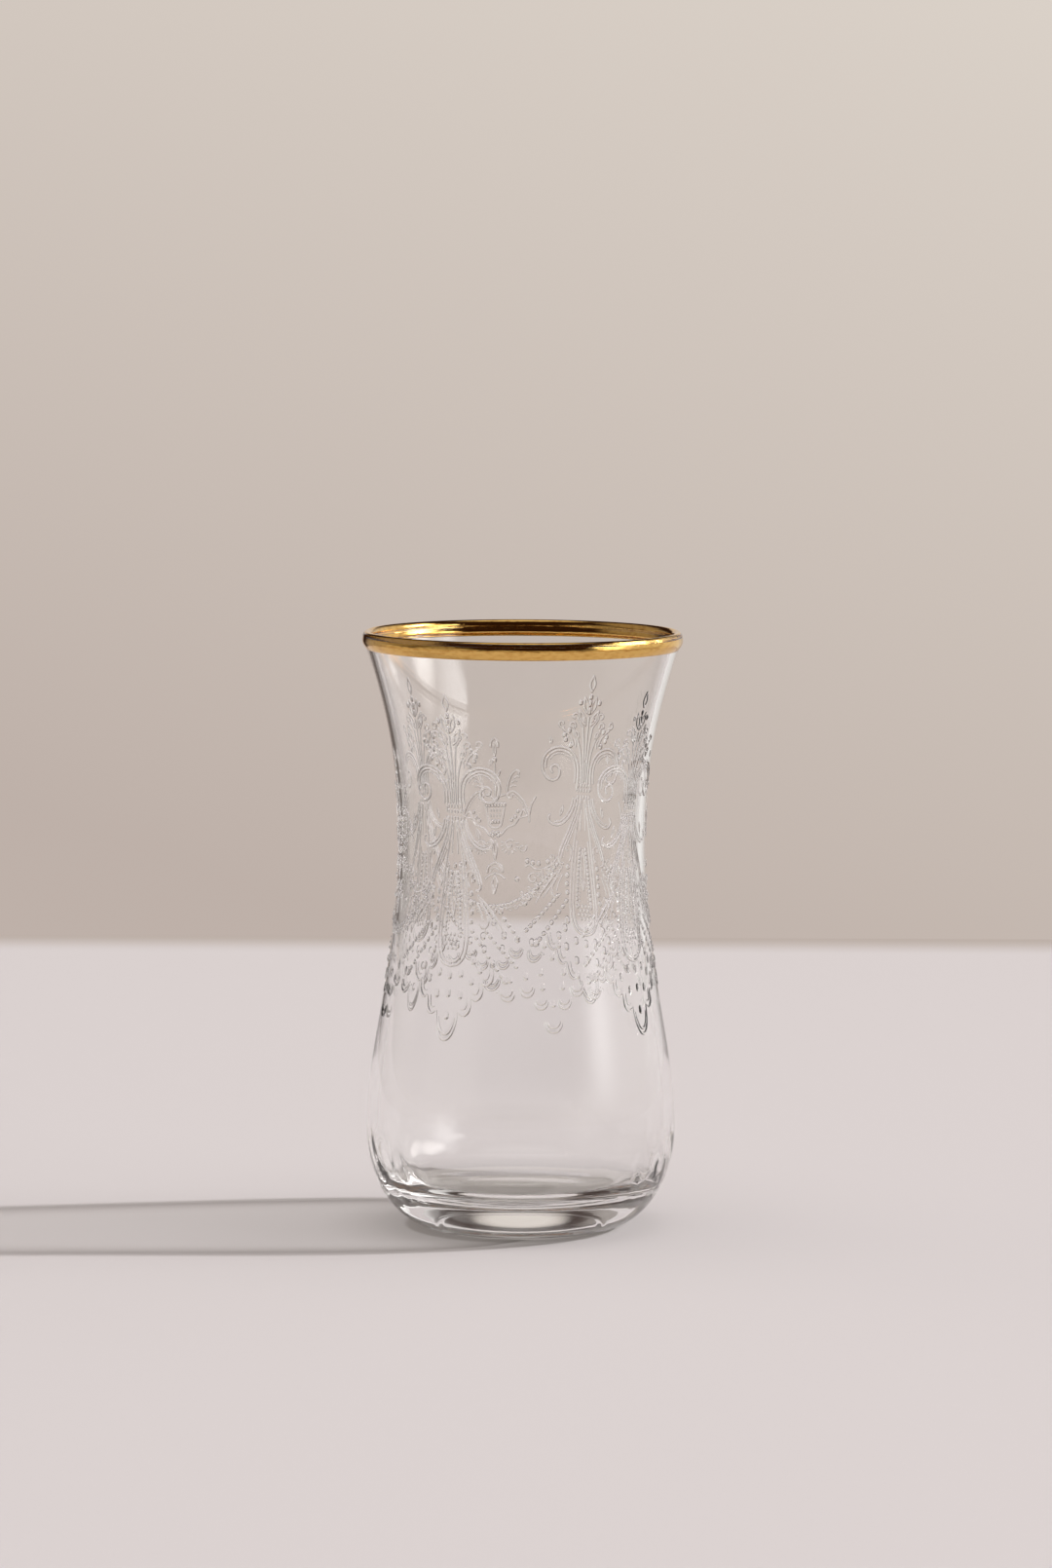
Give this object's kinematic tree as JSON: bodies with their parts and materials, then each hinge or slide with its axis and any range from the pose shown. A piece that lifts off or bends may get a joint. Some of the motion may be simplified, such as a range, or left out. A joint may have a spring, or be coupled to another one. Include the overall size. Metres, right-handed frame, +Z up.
{
  "type": "tea glass",
  "caption": "Tall waisted tea glass of clear blown glass with a heavy rounded base, a flared lip and a fired gold rim; free-standing, filled from the top.",
  "frame": {"origin": "centre of the foot, on the table", "axes": "+Z up along the axis of the glass; +X to the right and -Y towards the picture's camera"},
  "size_m": [0.0562, 0.0562, 0.1051],
  "materials": {
    "clear_glass": "clear, fire polished, with a raised lace ornament",
    "gold": "bright fired gold with brush marks"
  },
  "bodies": {
    "root": {"glass_vessel": "clear_glass", "gold_rim": "gold"}
  },
  "joints": []
}
